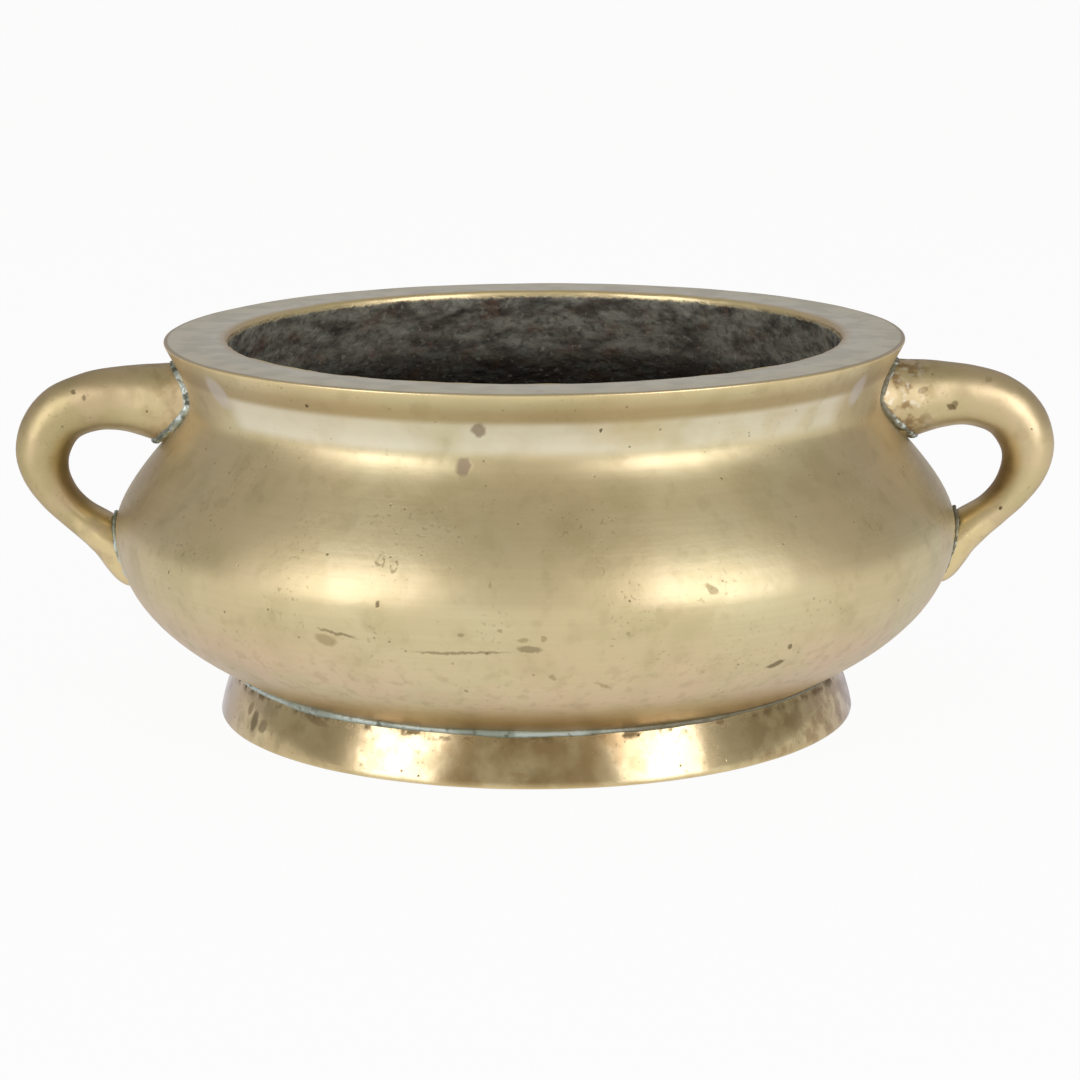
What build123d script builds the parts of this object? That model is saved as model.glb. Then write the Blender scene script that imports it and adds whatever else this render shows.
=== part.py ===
"""Bombe censer: a squat cast-brass incense bowl on a separate foot ring, with two loop handles.

Millimetres, +Z up. The origin is the middle of the circle that the foot stands on.
+X runs through both handles, and every round piece turns about Z.
"""
import os
from math import cos, radians, sin

from build123d import *

# Vessel: heights are over the table, radii are to the outer surface
RIM_HEIGHT = 77.5
LIP_RADIUS = 75.3
LIP_WIDTH = 13.1
LIP_FLARE = 65.0        # slope of the wall as it meets the lip's outer edge, degrees
NECK_RADIUS = 70.3
NECK_HEIGHT = 64.6
BELLY_RADIUS = 85.9
BELLY_HEIGHT = 38.9
SEAT_RADIUS = 62.1      # circle where the belly meets the foot ring
SEAT_HEIGHT = 10.4
SEAT_SLOPE = 27.8       # slope of the belly there, degrees
BASE_RADIUS = 47.0      # flat of the underside, inside the foot ring
BASE_HEIGHT = 5.6

# Thickness of the casting
NECK_WALL = 5.6
BELLY_WALL = 4.7
FLOOR_WALL = 5.0
FLOOR_RADIUS = 40.0     # flat of the bowl's floor

# How far back from its corner each worn edge of the lip begins
LIP_OUTER_EDGE = 0.7
LIP_INNER_EDGE = 1.2

# How far each curve keeps its end direction, as a share of the height it climbs
BELLY_FULLNESS = 0.49
SHOULDER_FULLNESS = 0.37
NECK_TIGHTNESS = 0.195
LIP_EASE = 0.34
BOWL_FULLNESS = 0.62

# Foot ring
FOOT_RADIUS = 65.5
FOOT_SLOPE = 79.0       # slope of the ring's side at its foot, degrees; it leans in more above
FOOT_LAND = 4.7         # width of the flat that stands on the table
FOOT_THROAT = 57.0      # inner radius at the top of the ring
FOOT_EDGE = 0.6
FOOT_INNER_EDGE = 0.4

# Loop handles
HANDLE_REACH = 20.9     # how far the loop stands out from the widest line of the belly
ARM_DROP = 13.2         # from the rim down to the middle of the upper arm
TAIL_DROPS = (5.9, 10.3, 13.0)  # heights of the tail's sections below the widest line

# Tenons, cast on the handles, pass through the wall and are hammered over inside
UPPER_TENON_RADIUS = 4.0
LOWER_TENON_RADIUS = 2.6
UPPER_TENON_DROP = 1.0  # below the middle of the upper arm
LOWER_TENON_DROP = 4.6  # below the widest line of the belly
TENON_HEAD = 1.8        # how far a hammered head stands past its tenon all round
TENON_HEAD_HEIGHT = 1.3
UPPER_TENON_ROOT = 4.5  # how far a tenon is drawn on into the root of its handle
LOWER_TENON_ROOT = 2.5
TENON_END = 1.1         # from the inside of the wall to the tenon's end, inside its head
HOLE_OVERRUN = 2.0      # how far a drilled hole is drawn past both ends of its tenon
TENON_CLEARANCE = 0.1

# Soft solder
FILM = 0.06             # gap left between two soldered faces
FOOT_BEAD = 0.9         # leg of the fillet round the foot
UPPER_BEAD_WIDTH = 1.5
UPPER_BEAD_HEIGHT = 1.9
LOWER_BEAD_WIDTH = 0.9
LOWER_BEAD_HEIGHT = 1.0

# Points taken along each curve where it is drawn again at a distance
GROWN_STEPS = 24

# Sizes that follow from the ones above
LIP_INNER = LIP_RADIUS - LIP_WIDTH
ARM_HEIGHT = RIM_HEIGHT - ARM_DROP
TENONS = (
    (ARM_HEIGHT - UPPER_TENON_DROP, UPPER_TENON_RADIUS, UPPER_TENON_ROOT),
    (BELLY_HEIGHT - LOWER_TENON_DROP, LOWER_TENON_RADIUS, LOWER_TENON_ROOT),
)


def way_at(slope):
    """The direction in the XZ plane that rises outwards at a slope in degrees."""
    return Vector(cos(radians(slope)), 0, sin(radians(slope)))


def worn_flat(corner, way_in, way_out, reach):
    """The narrow flat that takes the place of a worn corner of an outline."""
    return Line(corner - way_in * reach, corner + way_out * reach)


def lip_edge():
    """The worn outer edge of the lip, from the flare of the wall to the flat top."""
    corner = Vector(LIP_RADIUS, 0, RIM_HEIGHT)
    return worn_flat(corner, way_at(LIP_FLARE), Vector(-1, 0, 0), LIP_OUTER_EDGE)


def outer_curves():
    """The vessel's outer surface as edges in the XZ plane, from the base flat up to the lip's edge."""
    base = Vector(BASE_RADIUS, 0, BASE_HEIGHT)
    seat = Vector(SEAT_RADIUS, 0, SEAT_HEIGHT)
    belly = Vector(BELLY_RADIUS, 0, BELLY_HEIGHT)
    neck = Vector(NECK_RADIUS, 0, NECK_HEIGHT)
    lip = lip_edge() @ 0
    up = Vector(0, 0, 1)
    seat_way = way_at(SEAT_SLOPE)
    lip_way = way_at(LIP_FLARE)
    under = (SEAT_RADIUS - BASE_RADIUS) / 3
    lower = (BELLY_HEIGHT - SEAT_HEIGHT) * BELLY_FULLNESS
    high_pull = (NECK_HEIGHT - BELLY_HEIGHT) * SHOULDER_FULLNESS
    low_pull = (NECK_HEIGHT - BELLY_HEIGHT) * NECK_TIGHTNESS
    flare = (RIM_HEIGHT - NECK_HEIGHT) * LIP_EASE
    return [
        Bezier(base, base + Vector(under, 0, 0), seat - seat_way * under, seat),
        Bezier(seat, seat + seat_way * lower, belly - up * lower, belly),
        Bezier(belly, belly + up * high_pull, neck - up * low_pull, neck),
        Bezier(neck, neck + up * flare, lip - lip_way * flare, lip),
    ]


def grown(curve, amount):
    """The curve moved out of the metal by an amount, square to itself."""
    points = []
    for step in range(GROWN_STEPS + 1):
        way = curve % (step / GROWN_STEPS)
        points.append(curve @ (step / GROWN_STEPS) + Vector(way.Z, 0, -way.X) * amount)
    return Spline(*points)


def turned(edges):
    """The solid swept by a closed outline, in the XZ plane, as it turns about Z."""
    return revolve(Face(Wire(edges)), Axis.Z)


def at_height(curve, height):
    """The place along a curve, from 0 to 1, where it reaches a height that it passes once."""
    rises = (curve @ 1).Z > (curve @ 0).Z
    low, high = 0.0, 1.0
    for _ in range(40):
        middle = (low + high) / 2
        if ((curve @ middle).Z < height) == rises:
            low = middle
        else:
            high = middle
    return low


def inner_curves():
    """The bowl's inner surface, from the lip's inner edge down to the middle of the floor."""
    lip = Vector(LIP_INNER, 0, RIM_HEIGHT - LIP_INNER_EDGE)
    neck = Vector(NECK_RADIUS - NECK_WALL, 0, NECK_HEIGHT)
    belly = Vector(BELLY_RADIUS - BELLY_WALL, 0, BELLY_HEIGHT)
    floor = Vector(FLOOR_RADIUS, 0, BASE_HEIGHT + FLOOR_WALL)
    up = Vector(0, 0, 1)
    throat = (lip.Z - neck.Z) / 3
    high_pull = (NECK_HEIGHT - BELLY_HEIGHT) * SHOULDER_FULLNESS
    low_pull = (NECK_HEIGHT - BELLY_HEIGHT) * NECK_TIGHTNESS
    bowl = (belly.Z - floor.Z) * BOWL_FULLNESS
    across = (belly.X - floor.X) / 2
    return [
        Bezier(lip, lip - up * throat, neck + up * throat, neck),
        Bezier(neck, neck - up * low_pull, belly + up * high_pull, belly),
        Bezier(belly, belly - up * bowl, floor + Vector(across, 0, 0), floor),
        Line(floor, Vector(0, 0, floor.Z)),
    ]


def vessel_plug(amount):
    """All the space inside the outer surface, made larger by an amount, to cut what seats on it."""
    curves = [grown(curve, amount) for curve in outer_curves()]
    start = curves[0] @ 0
    end = curves[-1] @ 1
    axis_low = Vector(0, 0, start.Z)
    axis_high = Vector(0, 0, end.Z)
    return turned([Line(axis_low, start), *curves, Line(end, axis_high), Line(axis_high, axis_low)])


def cavity(amount):
    """The space inside the bowl up to its rim, made smaller by an amount."""
    curves = [grown(curve, amount) for curve in inner_curves()[:3]]
    start = curves[0] @ 0
    end = curves[-1] @ 1
    axis_low = Vector(0, 0, end.Z)
    axis_high = Vector(0, 0, start.Z)
    return turned([*curves, Line(end, axis_low), Line(axis_low, axis_high), Line(axis_high, start)])


def make_bowl():
    """The cast bowl, before the tenon holes are drilled."""
    outer = outer_curves()
    inner = inner_curves()
    edge = lip_edge()
    inner_corner = Vector(LIP_INNER, 0, RIM_HEIGHT)
    eased_start = inner_corner + Vector(LIP_INNER_EDGE, 0, 0)
    eased = Bezier(eased_start, inner_corner, inner[0] @ 0)
    base_middle = Vector(0, 0, BASE_HEIGHT)
    return turned([
        Line(base_middle, outer[0] @ 0),
        *outer,
        edge,
        Line(edge @ 1, eased_start),
        eased,
        *inner,
        Line(inner[-1] @ 1, base_middle),
    ])


def foot_curves():
    """The foot ring's worn lower edge and its side, up to the corner where the belly rests."""
    side_way = Vector(-cos(radians(FOOT_SLOPE)), 0, sin(radians(FOOT_SLOPE)))
    edge = worn_flat(Vector(FOOT_RADIUS, 0, 0), Vector(1, 0, 0), side_way, FOOT_EDGE)
    side = TangentArc(edge @ 1, Vector(SEAT_RADIUS, 0, SEAT_HEIGHT), tangent=side_way)
    return edge, side


def make_foot_ring(seat):
    """The flared foot ring, its top hollowed to the belly that sits in it."""
    edge, side = foot_curves()
    over = side @ 1 + (side % 1) * FOOT_LAND
    inner_top = Vector(FOOT_THROAT, 0, over.Z)
    inner_low = Vector(FOOT_RADIUS - FOOT_LAND, 0, FOOT_INNER_EDGE)
    land_start = inner_low + Vector(FOOT_INNER_EDGE, 0, -FOOT_INNER_EDGE)
    ring = turned([
        Line(land_start, edge @ 0),
        edge,
        side,
        Line(side @ 1, over),
        Line(over, inner_top),
        Line(inner_top, inner_low),
        Line(inner_low, land_start),
    ])
    return ring - seat


def make_foot_solder():
    """The thin fillet of solder in the corner between the belly and the foot ring."""
    side = foot_curves()[1]
    up_belly = way_at(SEAT_SLOPE)
    down_foot = (side % 1) * -1
    between = (up_belly + down_foot).normalized()
    half_angle = radians(up_belly.get_angle(down_foot)) / 2
    heel = side @ 1 + between * (FILM / sin(half_angle))
    high = heel + up_belly * FOOT_BEAD
    low = heel + down_foot * FOOT_BEAD
    return turned([Line(high, low), Line(low, heel), Line(heel, high)])


def handle_sections():
    """Middle, half thickness and half width of each section, from the root in the neck to the tail's tip.

    Thickness is across the loop and width is along Y. The root flares into the neck, the loop thins
    as it turns down, and the tail spreads and lies along the lower belly.
    """
    loop_height = ARM_HEIGHT - BELLY_HEIGHT

    def loop(out, up):
        return Vector(BELLY_RADIUS + HANDLE_REACH * out, 0, BELLY_HEIGHT + loop_height * up)

    def tail(drop):
        belly = outer_curves()[1]
        return belly @ at_height(belly, BELLY_HEIGHT - drop)

    return [
        (Vector(NECK_RADIUS - 2.6, 0, ARM_HEIGHT - 1.5), 9.9, 9.2),
        (Vector(NECK_RADIUS + 2.2, 0, ARM_HEIGHT - 1.2), 8.9, 8.5),
        (Vector(NECK_RADIUS + 7.4, 0, ARM_HEIGHT - 0.6), 7.9, 7.8),
        (loop(-0.13, 1.0), 6.9, 7.0),
        (loop(0.16, 0.99), 6.3, 6.5),
        (loop(0.52, 0.88), 6.15, 6.2),
        (loop(0.72, 0.605), 5.85, 5.9),
        (loop(0.67, 0.33), 4.6, 5.1),
        (loop(0.39, 0.05), 3.5, 4.8),
        (loop(0.15, -0.085), 4.3, 5.6),
        (tail(TAIL_DROPS[0]), 4.9, 6.0),
        (tail(TAIL_DROPS[1]), 4.0, 5.4),
        (tail(TAIL_DROPS[2]), 2.7, 4.2),
    ]


def handle_blank(amount=0.0):
    """The right-hand loop, its ends still running into the vessel, made larger by an amount."""
    sections = handle_sections()
    centre_line = Spline(*[middle for middle, _, _ in sections])
    rings = []
    for middle, thickness, width in sections:
        along = centre_line % centre_line.param_at_point(middle)
        plane = Plane(origin=middle, x_dir=Vector(0, 1, 0), z_dir=along)
        rings.append(plane * Ellipse(width + amount, thickness + amount))
    return loft(rings)


def wall_inside(height):
    """Inner radius of the bowl's wall at a height between its floor and its rim."""
    curves = [curve for curve in inner_curves() if (curve @ 1).Z <= height]
    return (curves[0] @ at_height(curves[0], height)).X


def wall_outside(height):
    """Outer radius of the bowl's wall at a height between its base and its rim."""
    curves = [curve for curve in outer_curves() if (curve @ 1).Z >= height]
    return (curves[0] @ at_height(curves[0], height)).X


def rod(height, radius, root, overrun=0.0):
    """A round rod along X, from inside the bowl out through the wall and into a handle's root."""
    start = wall_inside(height) - TENON_END - overrun
    length = wall_outside(height) + root + overrun - start
    plane = Plane(origin=Vector(start, 0, height), z_dir=Vector(1, 0, 0))
    return Solid.make_cylinder(radius, length, plane)


def tenon_head(height, radius):
    """The hammered-over end of a tenon, spread on the inside of the wall."""
    start = Vector(wall_inside(height) - TENON_HEAD_HEIGHT, 0, height)
    plane = Plane(origin=start, z_dir=Vector(1, 0, 0))
    spread = radius + TENON_HEAD
    depth = TENON_HEAD_HEIGHT + NECK_WALL / 2
    head = Solid.make_cone(radius + TENON_HEAD / 2, spread, depth, plane)
    return head & cavity(FILM)


def make_handle(seat):
    """The right-hand handle: the loop cut to its seat on the vessel, with two tenons and their heads."""
    loop = handle_blank() - seat
    for height, radius, root in TENONS:
        loop += rod(height, radius, root)
        loop += tenon_head(height, radius)
    return loop


def drill(bowl):
    """The bowl with the four holes that the tenons pass through."""
    for height, radius, root in TENONS:
        hole = rod(height, radius + TENON_CLEARANCE, root, HOLE_OVERRUN)
        bowl -= hole
        bowl -= Rot(Z=180) * hole
    return bowl


def make_root_solder(seat, width, height, upper):
    """The bead of solder round one root of the right-hand handle, on the vessel's surface."""
    collar = handle_blank(width) & vessel_plug(height)
    collar -= seat
    collar -= handle_blank(FILM)
    middle = (ARM_HEIGHT + BELLY_HEIGHT) / 2
    beads = [solid for solid in collar.solids() if (solid.center().Z > middle) == upper]
    return max(beads, key=lambda solid: solid.volume)


def write(name, shape):
    """Write one piece to its own file."""
    export_step(shape, f"parts/{name}.step")
    print(name, round(shape.volume), "mm3", len(shape.solids()), "solid(s)")


def main():
    os.makedirs("parts", exist_ok=True)
    seat = vessel_plug(FILM)
    handle = make_handle(seat)
    upper_solder = make_root_solder(seat, UPPER_BEAD_WIDTH, UPPER_BEAD_HEIGHT, True)
    lower_solder = make_root_solder(seat, LOWER_BEAD_WIDTH, LOWER_BEAD_HEIGHT, False)
    write("vessel_body", drill(make_bowl()))
    write("foot_ring", make_foot_ring(seat))
    write("foot_solder", make_foot_solder())
    fitted = {"handle": handle, "upper_solder": upper_solder, "lower_solder": lower_solder}
    for name, shape in fitted.items():
        write(f"right_{name}", shape)
        write(f"left_{name}", mirror(shape, Plane.YZ))


main()
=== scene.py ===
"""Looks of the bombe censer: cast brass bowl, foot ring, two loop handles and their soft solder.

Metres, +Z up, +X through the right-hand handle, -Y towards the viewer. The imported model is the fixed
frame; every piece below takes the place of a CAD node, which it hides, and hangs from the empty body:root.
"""

from copy import copy
from math import atan2, cos, pi, radians, sin

import bpy
from mathutils import Matrix, Vector


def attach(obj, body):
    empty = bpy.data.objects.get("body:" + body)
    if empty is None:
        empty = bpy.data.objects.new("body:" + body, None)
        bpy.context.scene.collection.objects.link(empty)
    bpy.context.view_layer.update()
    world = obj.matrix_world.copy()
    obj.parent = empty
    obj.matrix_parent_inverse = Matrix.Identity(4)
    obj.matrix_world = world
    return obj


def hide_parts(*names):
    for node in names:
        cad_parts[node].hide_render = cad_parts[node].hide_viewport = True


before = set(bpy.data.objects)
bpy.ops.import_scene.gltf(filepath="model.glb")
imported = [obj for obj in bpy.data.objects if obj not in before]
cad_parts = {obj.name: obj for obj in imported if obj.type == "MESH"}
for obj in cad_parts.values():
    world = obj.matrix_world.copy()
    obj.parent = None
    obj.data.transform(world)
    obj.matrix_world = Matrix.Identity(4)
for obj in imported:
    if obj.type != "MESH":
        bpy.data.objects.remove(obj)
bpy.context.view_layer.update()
MM = 0.001
WELD = 0.01 * MM        # points nearer than this are merged
SPIN_STEPS = 288        # steps of a turned piece round its axis
ROUNDS = 28             # corners of a loop's ring

# Outlines of the turned pieces, in millimetres.
# Each point is (radius, height), then the pull of the curve before it and after it, as (radius, height).
# The bowl's starts at the middle of its base, goes up the outside to the lip and comes back down inside.
BOWL_OUTLINE = [
    ((0, 5.6), (0, 5.6), (15.7, 5.6)),
    ((47, 5.6), (31.3, 5.6), (52.0, 5.6)),
    ((62.1, 10.4), (57.65, 8.05), (74.45, 16.91)),
    ((85.85, 38.9), (85.85, 24.94), (85.85, 48.4)),
    ((70.3, 64.6), (70.3, 59.6), (70.3, 68.98)),
    ((75.05, 76.7), (73.2, 72.9), (75.25, 77.15)),
    ((74.5, 77.45), (74.95, 77.45), (71.0, 77.45)),
    ((63.6, 77.45), (67.0, 77.45), (62.6, 77.45)),
    ((62.2, 76.1), (62.2, 76.9), (62.2, 72.3)),
    ((64.7, 64.6), (64.7, 68.4), (64.7, 59.6)),
    ((81.2, 38.9), (81.2, 48.4), (81.2, 21.4)),
    ((40, 10.6), (60.6, 10.6), (26.7, 10.6)),
    ((0, 10.6), (13.3, 10.6), (0, 10.6)),
]
# The foot ring's goes round its section once, from the inner edge of the face that it stands on
FOOT_OUTLINE = [
    ((61.4, 0.0), (61.1, 0.1), (62.5, 0.0)),
    ((64.7, 0.0), (63.6, 0.0), (65.15, 0.0)),
    ((65.4, 0.65), (65.45, 0.25), (64.75, 3.9)),
    ((62.1, 10.25), (63.65, 7.1), (61.7, 10.2)),
    ((57.2, 7.75), (59.0, 8.7), (57.1, 7.6)),
    ((60.8, 0.4), (59.6, 2.85), (60.9, 0.15)),
    ((61.4, 0.0), (61.1, 0.1), (61.4, 0.0)),
]

# The right-hand loop, ring by ring from the root in the neck to the tip of the tail, in millimetres:
# out along X, height, half thickness across the loop, half width along Y, and the way it runs in degrees
LOOP_RINGS = [
    (67.7, 62.8, 9.90, 9.20, 1),
    (70.1, 62.9, 9.40, 8.85, 3),
    (72.5, 63.1, 8.90, 8.50, 5),
    (75.1, 63.4, 8.40, 8.15, 7),
    (77.7, 63.7, 7.90, 7.80, 7),
    (80.4, 64.1, 7.40, 7.40, 6),
    (83.2, 64.3, 6.90, 7.00, 3),
    (86.2, 64.3, 6.55, 6.70, -2),
    (89.3, 64.05, 6.30, 6.50, -9),
    (93.3, 63.0, 6.25, 6.35, -22),
    (96.9, 61.3, 6.20, 6.20, -38),
    (99.5, 58.2, 6.10, 6.05, -59),
    (101.0, 54.4, 5.90, 5.90, -80),
    (101.1, 50.8, 5.35, 5.50, -99),
    (99.9, 47.2, 4.65, 5.10, -115),
    (97.3, 43.3, 3.95, 4.90, -132),
    (94.0, 40.1, 3.60, 4.80, -142),
    (91.4, 38.3, 3.90, 5.20, -145),
    (89.0, 36.5, 4.35, 5.60, -142),
    (86.8, 34.8, 4.75, 5.85, -130),
    (85.3, 32.9, 4.90, 6.00, -120),
    (84.3, 30.7, 4.55, 5.75, -114),
    (83.4, 28.5, 4.00, 5.40, -113),
    (82.6, 26.9, 3.05, 4.50, -118),
    (81.8, 25.8, 1.90, 3.40, -126),
]
# The middle of the bowl's wall, closed to the axis: a loop's roots are cut off along it
WALL_MIDDLE = [
    ((0, 8.0), (0, 8.0), (27, 8.0)),
    ((45, 8.0), (36, 8.0), (62.0, 10.0)),
    ((83.6, 38.9), (83.6, 24.0), (83.6, 48.4)),
    ((67.6, 64.6), (67.6, 59.6), (67.6, 69.5)),
    ((69.5, 80.0), (68.2, 76.0), (46, 80.0)),
    ((0, 80.0), (23, 80.0), (0, 80.0)),
]

# Points up the outside of the bowl, in millimetres: height, distance from the axis
WALL_POINTS = (
    (24.7, 81.0), (29.5, 83.9), (38.9, 85.9), (44.7, 84.2), (49.2, 81.5), (54.8, 76.9),
    (57.4, 74.7), (59.8, 72.7), (64.6, 70.3), (70.9, 72.0), (76.7, 75.1),
)

# Tenon heads on the inside of the wall, in millimetres: height, radius of the tenon, distance of the wall
# from the axis
TENON_HEADS = ((63.3, 4.0, 64.7), (34.3, 2.6, 80.8))
HEAD_SPREAD = 1.6       # how far a head is hammered out past its tenon
HEAD_THICKNESS = 2.2

# The run of solder round the top of the foot ring, in millimetres
FOOT_SEAM_HEIGHT = 10.35
FOOT_SEAM_RADIUS = 62.2
FOOT_SEAM_HALF = 0.54   # half its thickness

# Solder at the loops' roots: packed bead, rounds of smoothing, height of its middle in millimetres,
# and how far it is pressed together towards that middle
ROOT_SEAMS = (
    ("left_upper_solder", 20, 62.8, 0.89),
    ("left_lower_solder", 7, 31, 0.98),
    ("right_upper_solder", 26, 62.8, 0.88),
    ("right_lower_solder", 7, 31, 0.98),
)
PRESS_SHIFT = 6         # millimetres towards the axis, times the share that a bead is pressed together by

# Colours, as sRGB hex
PALE_BRASS = "#D1C59C"
WARM_BRASS = "#D0BD94"
OLIVE_BRASS = "#BEB084"
DULL_BRASS = "#A09068"
PINK_BRASS = "#D8BE9E"
GREY_BRASS = "#F3F2D1"
FOOT_BRASS = "#D0BE94"
HANDLE_BRASS = "#C6B68A"
DULL_HANDLE = "#A8996C"
RUBBED_AND_SHEEN = "#E0CB98"
EDGE_TINT = "#DAD9E6"
# Pale flecks at the right-hand root, and the painted reflection in the neck's hollow
PALE_FLECK_AND_REFLECTION = "#EEEBDA"
NECK_REFLECTION_TINT = "#D3CCC6"
LIP_PALE = "#F5F3DE"
LIP_DULL = "#B9B4A2"
UNDER_LIP_SHADE = "#A8926A"
PIT = "#4C4028"
LILAC_BROWN = "#94836F"
DARK_STAIN = "#6A5A3C"
BROWN_TARNISH = "#8A6F48"
SOOT = "#443F35"
ASH_BROWN = "#625A4C"
GREY_GREEN = "#74776A"
SOOT_BROWN = "#6E5540"
DEEP_SOOT = "#27231D"
PALE_ASH = "#9C9B89"
GOLDEN_BROWN = "#C8AE72"
FOOT_BROWN = "#967A50"
SOLDER = "#C6D0C8"
SOLDER_GREEN = "#8A9484"
SOLDER_DIRT = "#4A4A3A"
OLD_SOLDER = "#726A50"

# Single marks: place, half width and half height in millimetres, turn in degrees, tint, strength
BOWL_MARKS = [
    ((-10.3, -70.8, 70.1), (1.55, 1.60), 0, LILAC_BROWN, 0.75),
    ((-13.1, -69.4, 63.1), (1.55, 1.90), 0, LILAC_BROWN, 0.75),
    ((32.1, -79.1, 42.0), (1.70, 0.80), 35, DULL_BRASS, 0.55),
    ((-28.9, -80.8, 40.0), (0.45, 0.80), 20, DARK_STAIN, 0.7),
    ((-13.8, -83.2, 31.4), (9.80, 0.32), -2, DARK_STAIN, 0.5),
    ((-1.2, -85.0, 32.4), (2.60, 0.75), 5, DARK_STAIN, 0.5),
    ((-2.4, -85.0, 34.2), (1.10, 0.50), 5, DULL_BRASS, 0.6),
    ((1.3, -85.0, 34.4), (0.60, 0.60), 5, DULL_BRASS, 0.6),
    ((3.0, -84.4, 26.3), (0.90, 0.60), 50, DULL_BRASS, 0.6),
    ((-8.2, -85.2, 44.2), (0.50, 0.50), 0, DULL_BRASS, 0.6),
    ((-13.6, -84.0, 35.1), (0.60, 0.45), 0, DULL_BRASS, 0.7),
    ((-36.5, -76.6, 33.6), (4.60, 0.35), 8, DARK_STAIN, 0.55),
    ((-13.4, -82.2, 22.9), (0.50, 0.45), 0, DULL_BRASS, 0.7),
    ((12.8, -82.9, 24.1), (2.30, 0.40), 22, DULL_BRASS, 0.5),
    ((-38.7, -75.5, 32.0), (2.60, 1.30), 10, DULL_BRASS, 0.6),
    ((44.6, -67.9, 25.0), (2.20, 0.70), -15, DARK_STAIN, 0.7),
    ((47.3, -68.8, 28.6), (0.60, 0.70), 0, DARK_STAIN, 0.7),
    ((-6.6, -85.4, 35.9), (0.60, 0.40), 0, DULL_BRASS, 0.6),
    ((-42.2, -59.1, 72.7), (0.40, 0.40), 0, PIT, 0.7),
    ((12.1, -70.4, 69.9), (0.35, 0.45), 0, PIT, 0.8),
]
FOOT_MARKS = [
    ((-57.0, -32.0, 4.6), (1.60, 2.60), 8, DARK_STAIN, 0.7),
    ((-54.6, -35.2, 4.4), (1.90, 1.40), -30, DARK_STAIN, 0.55),
    ((-58.0, -29.0, 6.4), (1.30, 1.60), 20, BROWN_TARNISH, 0.6),
    ((-44.0, -47.5, 8.6), (5.00, 0.80), 10, DARK_STAIN, 0.7),
    ((-3.5, -64.0, 2.8), (2.20, 0.50), 6, BROWN_TARNISH, 0.5),
]
HANDLE_MARKS = [
    ((84.3, -6.7, 62.7), (1.15, 0.70), 25, DARK_STAIN, 0.75),
    ((85.0, -6.7, 63.2), (0.75, 0.80), -10, DARK_STAIN, 0.6),
    ((92.0, -4.6, 67.9), (0.90, 0.70), 0, DULL_BRASS, 0.6),
    ((95.1, -4.7, 41.2), (0.50, 0.45), 0, PIT, 0.8),
    ((78.4, -7.6, 66.2), (1.30, 0.80), -20, DARK_STAIN, 0.4),
    ((-93.4, -5.3, 66.6), (0.55, 0.55), 0, PIT, 0.6),
    ((-91.2, -5.3, 65.4), (0.50, 0.60), 0, PIT, 0.5),
]
# Pale patches at the ends of the neck, painted reflections of the soft boxes in its hollow: place, half width
# and half height, turn
NECK_REFLECTION_PATCHES = [
    ((-61.4, -39.5, 72.0), (4.20, 3.60), 22),
    ((62.1, -36.3, 71.2), (3.00, 3.70), -22),
]
# Rings left by drops: place, half width and half height
BOWL_RINGS = [
    ((-28.4, -77.9, 47.3), (1.15, 1.25)),
    ((-25.9, -79.2, 46.6), (0.95, 1.15)),
]
MARK_DEPTH = 7.0                    # half a mark's depth into the wall, in millimetres
LOOP_MIDDLE = (90.5, 0, 50.5)       # the middle of a loop's opening, in millimetres

# The camera at the photograph's own angle: millimetres for lens and sensor, metres and radians for its place
LENS = 107.39
SENSOR = 36
CAMERA_PLACE = (0, -0.64948, 0.17552)
CAMERA_TURN = -0.0014
CAMERA_TILT = 0.2143                # how far it looks down
CAMERA_ROLL = -0.0054

# The room, in metres
FLOOR_SIZE = 20
FLOOR_EDGE = 0.5                    # height of the floor's turned-up edge
FLOOR_WHITE = 0.94                  # how much of what is seen of the floor is pure white
BOX_WIDTH = 0.64
BOX_HEIGHT = 0.95
BOX_DISTANCE = 1.2
AIM_HEIGHT = 0.03                   # the lamps are turned to this height on the vessel's axis
# Soft boxes: name, degrees to the right of the camera and up from the table, brightness
SOFT_BOXES = (("left_soft_box", -51, 20.5, 2.8), ("right_soft_box", 45, 20.5, 3.1))
LAMP_TINT = (1.0, 0.98, 1.12)
ROOM_FRONT = (0.55, 0.53, 0.48, 1)
ROOM_SIDE = (0.44, 0.43, 0.39, 1)
ROOM_BACK = (0.51, 0.49, 0.515, 1)


# Hand tools
def clear_selection():
    """Nothing selected and no edit mode, so that the next operator acts on its own piece alone."""
    if bpy.context.object and bpy.context.object.mode != "OBJECT":
        bpy.ops.object.mode_set(mode="OBJECT")
    bpy.ops.object.select_all(action="DESELECT")


def pick(piece):
    """The piece alone selected and active."""
    clear_selection()
    piece.select_set(True)
    bpy.context.view_layer.objects.active = piece


def copy_of(source, name):
    """A copy of a piece with its own mesh, free of the frame, its loose triangles merged."""
    clear_selection()
    piece = source.copy()
    piece.data = source.data.copy()
    piece.name = name
    piece.data.name = name
    piece.parent = None
    piece.hide_render = False
    piece.hide_viewport = False
    for key in list(piece.keys()):
        del piece[key]
    bpy.context.scene.collection.objects.link(piece)
    pick(piece)
    bpy.ops.object.mode_set(mode="EDIT")
    bpy.ops.mesh.select_all(action="SELECT")
    bpy.ops.mesh.remove_doubles(threshold=WELD)
    bpy.ops.object.mode_set(mode="OBJECT")
    return piece


def modify(piece, kind, **settings):
    """Puts one modifier on a piece and applies it."""
    pick(piece)
    modifier = piece.modifiers.new(kind.title(), kind)
    for key, value in settings.items():
        setattr(modifier, key, value)
    bpy.ops.object.modifier_apply(modifier=modifier.name)


def clouds(name, size, depth=2):
    """A cloudy height pattern with lumps of a given size in metres."""
    texture = bpy.data.textures.new(name, "CLOUDS")
    texture.noise_scale = size
    texture.noise_depth = depth
    return texture


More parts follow.
